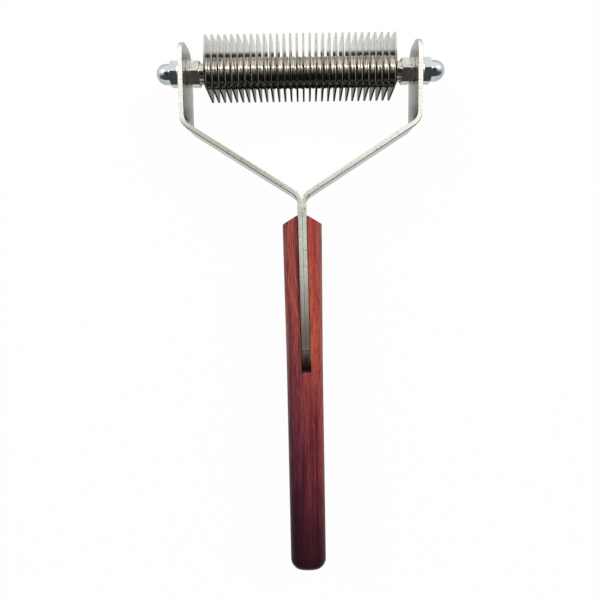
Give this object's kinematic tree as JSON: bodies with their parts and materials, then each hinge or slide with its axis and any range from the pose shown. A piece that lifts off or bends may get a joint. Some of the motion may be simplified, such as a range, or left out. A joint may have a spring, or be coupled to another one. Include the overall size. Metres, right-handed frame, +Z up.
{
  "type": "deshedding tool",
  "caption": "Deshedding rake with a row of thin steel blades on a threaded axle, held in a bent steel fork set into a slim hardwood handle.",
  "frame": {"origin": "on the plane that the lowest blade edges lie on, below the middle of the tool's bounding box", "axes": "+X along the blade axle, +Y along the handle towards the blades, +Z up out of the face that looks up when the tool lies on its back"},
  "size_m": [0.1248, 0.2404, 0.0285],
  "materials": {
    "hardwood": "oiled hardwood, satin",
    "rivet_steel": "ground flush",
    "fork_steel": "brushed along the strip, cut edges pale",
    "weld_steel": "small tack weld, rubbed down",
    "axle_steel": "threaded rod",
    "spacer_steel": "bright thin washers",
    "blade_steel": "polished stainless with ground edges",
    "zinc_plated_steel": "bright bluish zinc plating",
    "nut_steel": "plain steel, satin",
    "nylon": "natural nylon"
  },
  "bodies": {
    "handle_and_fork": {"wood_handle": "hardwood", "handle_rivets": "rivet_steel", "left_fork_arm": "fork_steel", "right_fork_arm": "fork_steel", "tang_welds": "weld_steel"},
    "blade_head": {"axle_rod": "axle_steel", "spacer_washers": "spacer_steel", "blade_01": "blade_steel", "blade_02": "blade_steel", "blade_03": "blade_steel", "blade_04": "blade_steel", "blade_05": "blade_steel", "blade_06": "blade_steel", "blade_07": "blade_steel", "blade_08": "blade_steel", "blade_09": "blade_steel", "blade_10": "blade_steel", "blade_11": "blade_steel", "blade_12": "blade_steel", "blade_13": "blade_steel", "blade_14": "blade_steel", "blade_15": "blade_steel", "blade_16": "blade_steel", "blade_17": "blade_steel", "blade_18": "blade_steel", "blade_19": "blade_steel", "blade_20": "blade_steel", "blade_21": "blade_steel", "blade_22": "blade_steel", "blade_23": "blade_steel", "blade_24": "blade_steel", "blade_25": "blade_steel", "blade_26": "blade_steel", "blade_27": "blade_steel", "blade_28": "blade_steel", "blade_29": "blade_steel", "blade_30": "blade_steel", "left_cap_nut": "zinc_plated_steel", "left_plain_washer": "zinc_plated_steel", "left_jam_nut": "nut_steel", "left_lock_nut": "nut_steel", "left_nylon_ring": "nylon", "right_cap_nut": "zinc_plated_steel", "right_plain_washer": "zinc_plated_steel", "right_jam_nut": "nut_steel", "right_lock_nut": "nut_steel", "right_nylon_ring": "nylon"}
  },
  "joints": [
    {"name": "head_turn", "type": "hinge", "parent": "handle_and_fork", "child": "blade_head", "pos_m": [0, 0.1029, 0.0165], "axis": [1, 0, 0], "continuous": true}
  ]
}
